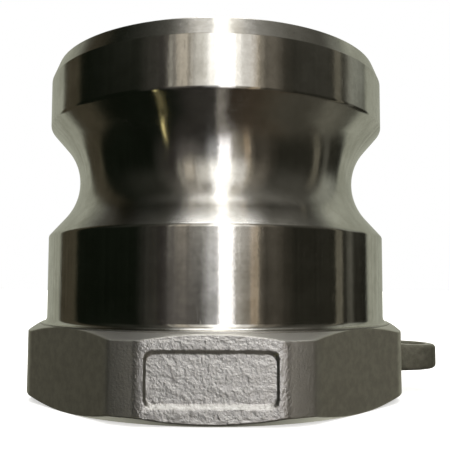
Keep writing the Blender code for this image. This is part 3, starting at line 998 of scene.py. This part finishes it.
def studio():
    """A white surround for the camera, and panels that the metal reflects."""
    world = bpy.data.worlds.new("studio")
    bpy.context.scene.world = world
    world.use_nodes = True
    tree = world.node_tree
    tree.nodes.clear()
    way = tree.nodes.new('ShaderNodeTexCoord').outputs["Generated"]
    parts = node(tree, 'ShaderNodeSeparateXYZ', {"Vector": way}).outputs
    degrees = 180 / math.pi
    front = calc(tree, 'MULTIPLY', parts["Y"], -1)
    azimuth = calc(tree, 'MULTIPLY', calc(tree, 'ARCTAN2', parts["X"], front), degrees)
    elevation = calc(tree, 'MULTIPLY', calc(tree, 'ARCSINE', parts["Z"]), degrees)
    side = calc(tree, 'MULTIPLY', calc(tree, 'ARCSINE', parts["X"]), degrees)
    from_back = calc(tree, 'WRAP', calc(tree, 'ADD', azimuth, 180), 180, -180)
    leaning = calc(tree, 'MULTIPLY_ADD', elevation, -LAMP_LEAN, azimuth)
    groups = ((azimuth, WALL_PANELS), (from_back, BACK_PANELS), (side, CEILING_PANELS),
              (leaning, LEANING_PANELS))
    light = None
    for angle, panels in groups:
        for sideways, upward, colour in panels.values():
            share = calc(tree, 'MULTIPLY', band(tree, angle, *sideways), band(tree, elevation, *upward))
            lit = scaled(tree, colour, share)
            light = vector_calc(tree, 'ADD', light, lit) if light else lit
    streak_inputs = {"W": azimuth, "Scale": 1 / STREAK_WIDTH, "Detail": 3.0, "Roughness": 0.6}
    streaks = node(tree, 'ShaderNodeTexNoise', streak_inputs, noise_dimensions='1D').outputs["Fac"]
    light = scaled(tree, light, between(tree, streaks, *STREAK_RANGE))
    seen = node(tree, 'ShaderNodeBackground', {"Color": (1, 1, 1, 1)})
    mirrored = node(tree, 'ShaderNodeBackground', {"Color": light})
    camera_ray = tree.nodes.new('ShaderNodeLightPath').outputs["Is Camera Ray"]
    surround = node(tree, 'ShaderNodeMixShader', {
        0: camera_ray, 1: mirrored.outputs["Background"], 2: seen.outputs["Background"]})
    output = tree.nodes.new('ShaderNodeOutputWorld')
    tree.links.new(surround.outputs["Shader"], output.inputs["Surface"])


def floor():
    """A plain pale floor, clear from below, that the metal doesn't mirror."""
    half = 3.0
    corners = [(-half, -half, 0), (half, -half, 0), (half, half, 0), (-half, half, 0)]
    mesh = bpy.data.meshes.new("studio_floor")
    mesh.from_pydata(corners, [], [(0, 1, 2, 3)])
    sheet = place("studio_floor", mesh)
    finish, tree, shader = new_material("pale_floor")
    shader.inputs["Base Color"].default_value = (0.86, 0.86, 0.85, 1)
    shader.inputs["Roughness"].default_value = 0.9
    shader.inputs["Specular IOR Level"].default_value = 0.0
    shader.inputs["Emission Color"].default_value = (1, 1, 0.99, 1)
    shader.inputs["Emission Strength"].default_value = 0.55
    clear = tree.nodes.new('ShaderNodeBsdfTransparent')
    below = tree.nodes.new('ShaderNodeNewGeometry').outputs["Backfacing"]
    either = node(tree, 'ShaderNodeMixShader', {
        0: below, 1: shader.outputs["BSDF"], 2: clear.outputs["BSDF"]})
    tree.links.new(either.outputs["Shader"], tree.nodes["Material Output"].inputs["Surface"])
    mesh.materials.append(finish)
    sheet.visible_glossy = False


def overhead_light():
    """Even soft light from above for the floor, left out of the metal's reflections."""
    light = bpy.data.lights.new("overhead", 'SUN')
    light.energy = 2.4
    light.angle = math.radians(100)
    lamp = bpy.data.objects.new("overhead", light)
    lamp.location = (0, 0, 1)
    lamp.visible_glossy = False
    bpy.context.scene.collection.objects.link(lamp)


def camera():
    """The photograph's view: a little above the base, close to the part and tilted up."""
    distance = 119.13 * MM
    height = 19.51 * MM
    azimuth = math.radians(1.0)
    tilt = 0.0697
    turn = -0.0151
    roll = -0.0033
    image_pixels = 450
    focal_pixels = 609.28
    centre_drop_pixels = 19.53
    lens = bpy.data.cameras.new("view")
    lens.sensor_width = 36
    lens.lens = focal_pixels / image_pixels * lens.sensor_width
    lens.shift_y = centre_drop_pixels / image_pixels
    lens.clip_start = 1 * MM
    viewer = bpy.data.objects.new("view", lens)
    viewer.location = (distance * math.sin(azimuth), -distance * math.cos(azimuth), height)
    viewer.rotation_euler = (math.pi / 2 + tilt, roll, azimuth + turn)
    bpy.context.scene.collection.objects.link(viewer)
    bpy.context.scene.camera = viewer


camera()
studio()
floor()
overhead_light()
lathe = turning_tree()
bright_finish = turned_steel()
adapter_casting(lathe, bright_finish, cast_steel())
socket_thread(bright_finish)
seal_ring(lathe, seal_finish())
bpy.context.scene.view_settings.view_transform = 'Standard'
